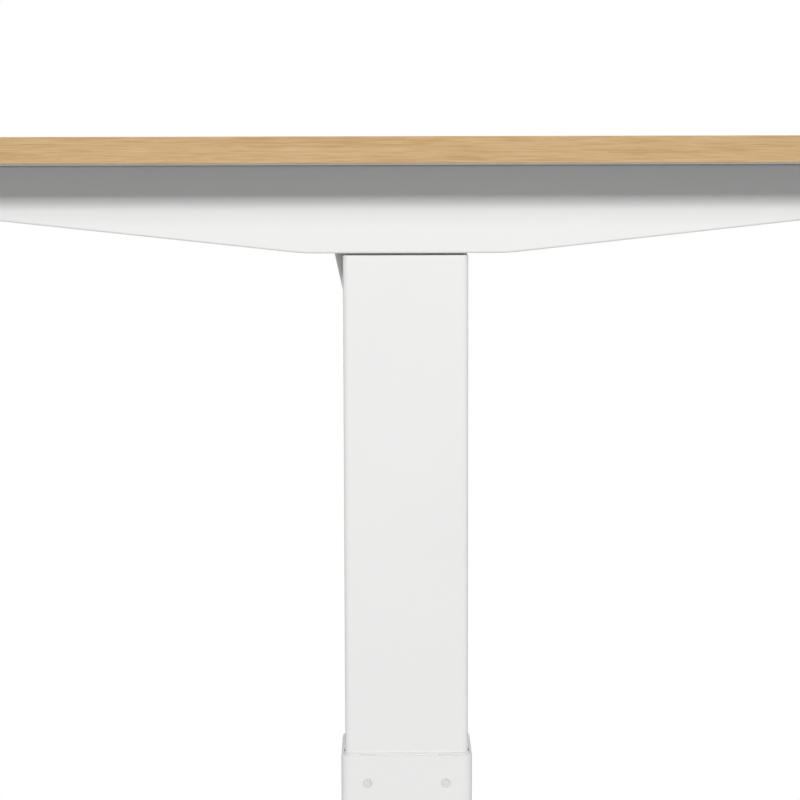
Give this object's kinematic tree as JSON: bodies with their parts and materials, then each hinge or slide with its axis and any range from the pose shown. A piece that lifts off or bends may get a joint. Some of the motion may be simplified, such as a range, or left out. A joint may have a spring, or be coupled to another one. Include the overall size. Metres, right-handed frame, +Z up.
{
  "type": "height adjustable standing desk",
  "caption": "Height adjustable standing desk: rectangular worktop on two electric telescopic legs with long feet, side brackets, rails, control box and handset.",
  "frame": {"origin": "on the floor under the centre of the worktop", "axes": "+X to the seated user's right along the worktop's length, -Y towards the user, +Z up"},
  "size_m": [1.4, 0.7, 1.01],
  "materials": {
    "laminate_top": "smooth wood-grain laminate",
    "edge_band": "straight-grained edge band",
    "white_steel": "fine-textured white powder coat",
    "zinc_steel": "bright zinc plate",
    "black_steel": "black oxide",
    "cast_alloy": "as cast, machined faces",
    "bearing_steel": "ground",
    "gear_bronze": "machined",
    "acetal": "moulded, white",
    "white_plastic": "moulded, fine spark texture",
    "black_plastic": "moulded, fine spark texture",
    "foot_pad": "moulded, matt",
    "button_rubber": "moulded, satin",
    "circuit_board": "green solder mask",
    "lead_sheath": "extruded, satin"
  },
  "bodies": {
    "base": {"foot_left": "white_steel", "foot_right": "white_steel", "outer_tube_left": "white_steel", "outer_tube_right": "white_steel", "base_plate_left": "white_steel", "base_plate_right": "white_steel", "nut_tube_left": "zinc_steel", "nut_tube_right": "zinc_steel", "drive_nut_left": "acetal", "drive_nut_right": "acetal", "foot_bolts": "black_steel", "glide_pads": "acetal"},
    "lifting_screw_left": {"leadscrew_left": "zinc_steel", "worm_wheel_left": "gear_bronze"},
    "worm_shaft_left": {"worm_left": "zinc_steel"},
    "lifting_screw_right": {"leadscrew_right": "zinc_steel", "worm_wheel_right": "gear_bronze"},
    "worm_shaft_right": {"worm_right": "zinc_steel"},
    "leveler_front_left": {"leveler_front_left": "foot_pad"},
    "leveler_front_right": {"leveler_front_right": "foot_pad"},
    "leveler_rear_left": {"leveler_rear_left": "foot_pad"},
    "leveler_rear_right": {"leveler_rear_right": "foot_pad"},
    "up_button": {"button_up": "button_rubber"},
    "down_button": {"button_down": "button_rubber"},
    "desktop": {"cable_clips": "white_plastic", "column_head_left": "white_steel", "column_head_right": "white_steel", "control_board": "circuit_board", "control_box": "black_plastic", "control_box_lid": "black_plastic", "edge_band_front": "edge_band", "edge_band_left": "edge_band", "edge_band_rear": "edge_band", "edge_band_right": "edge_band", "frame_bolts": "black_steel", "gearbox_left": "cast_alloy", "gearbox_lid_left": "cast_alloy", "gearbox_lid_right": "cast_alloy", "gearbox_right": "cast_alloy", "handset_case": "black_plastic", "handset_lead": "lead_sheath", "head_bracket_left": "white_steel", "head_bracket_right": "white_steel", "inner_tube_left": "white_steel", "inner_tube_right": "white_steel", "lower_glides": "acetal", "mains_inlet": "black_plastic", "motor_cover_left": "white_plastic", "motor_cover_right": "white_plastic", "motor_lead_left": "lead_sheath", "motor_lead_right": "lead_sheath", "motor_left": "zinc_steel", "motor_right": "zinc_steel", "rail_front": "white_steel", "rail_rear": "white_steel", "screw_bearings": "bearing_steel", "side_bracket_left": "white_steel", "side_bracket_right": "white_steel", "wood_screws": "zinc_steel", "worktop_board": "laminate_top"}
  },
  "joints": [
    {"name": "lift", "type": "slide", "parent": "base", "child": "desktop", "axis": [0, 0, 1], "range_m": [-0.278, 0.172]},
    {"name": "screw_spin_left", "type": "hinge", "parent": "desktop", "child": "lifting_screw_left", "pos_m": [-0.597, 0, 0.9588], "axis": [0, 0, 1], "continuous": true},
    {"name": "worm_spin_left", "type": "hinge", "parent": "desktop", "child": "worm_shaft_left", "pos_m": [-0.597, 0.02162, 0.9588], "axis": [-1, 0, 0], "continuous": true},
    {"name": "screw_spin_right", "type": "hinge", "parent": "desktop", "child": "lifting_screw_right", "pos_m": [0.597, 0, 0.9588], "axis": [0, 0, 1], "continuous": true},
    {"name": "worm_spin_right", "type": "hinge", "parent": "desktop", "child": "worm_shaft_right", "pos_m": [0.597, -0.02162, 0.9588], "axis": [1, 0, 0], "continuous": true},
    {"name": "leveler_front_left_slide", "type": "slide", "parent": "base", "child": "leveler_front_left", "axis": [0, 0, 1], "range_m": [-0.01, 0]},
    {"name": "leveler_front_right_slide", "type": "slide", "parent": "base", "child": "leveler_front_right", "axis": [0, 0, 1], "range_m": [-0.01, 0]},
    {"name": "leveler_rear_left_slide", "type": "slide", "parent": "base", "child": "leveler_rear_left", "axis": [0, 0, 1], "range_m": [-0.01, 0]},
    {"name": "leveler_rear_right_slide", "type": "slide", "parent": "base", "child": "leveler_rear_right", "axis": [0, 0, 1], "range_m": [-0.01, 0]},
    {"name": "up_press", "type": "slide", "parent": "desktop", "child": "up_button", "axis": [0, 1, 0], "range_m": [0, 0.001], "stiffness_N_per_m": 1500},
    {"name": "down_press", "type": "slide", "parent": "desktop", "child": "down_button", "axis": [0, 1, 0], "range_m": [0, 0.001], "stiffness_N_per_m": 1500}
  ],
  "couplings": [
    {"joint": "screw_spin_left", "follows": "lift", "rad_per_m": 392.7},
    {"joint": "worm_spin_left", "follows": "lift", "rad_per_m": -9817.5},
    {"joint": "screw_spin_right", "follows": "lift", "rad_per_m": 392.7},
    {"joint": "worm_spin_right", "follows": "lift", "rad_per_m": -9817.5}
  ]
}
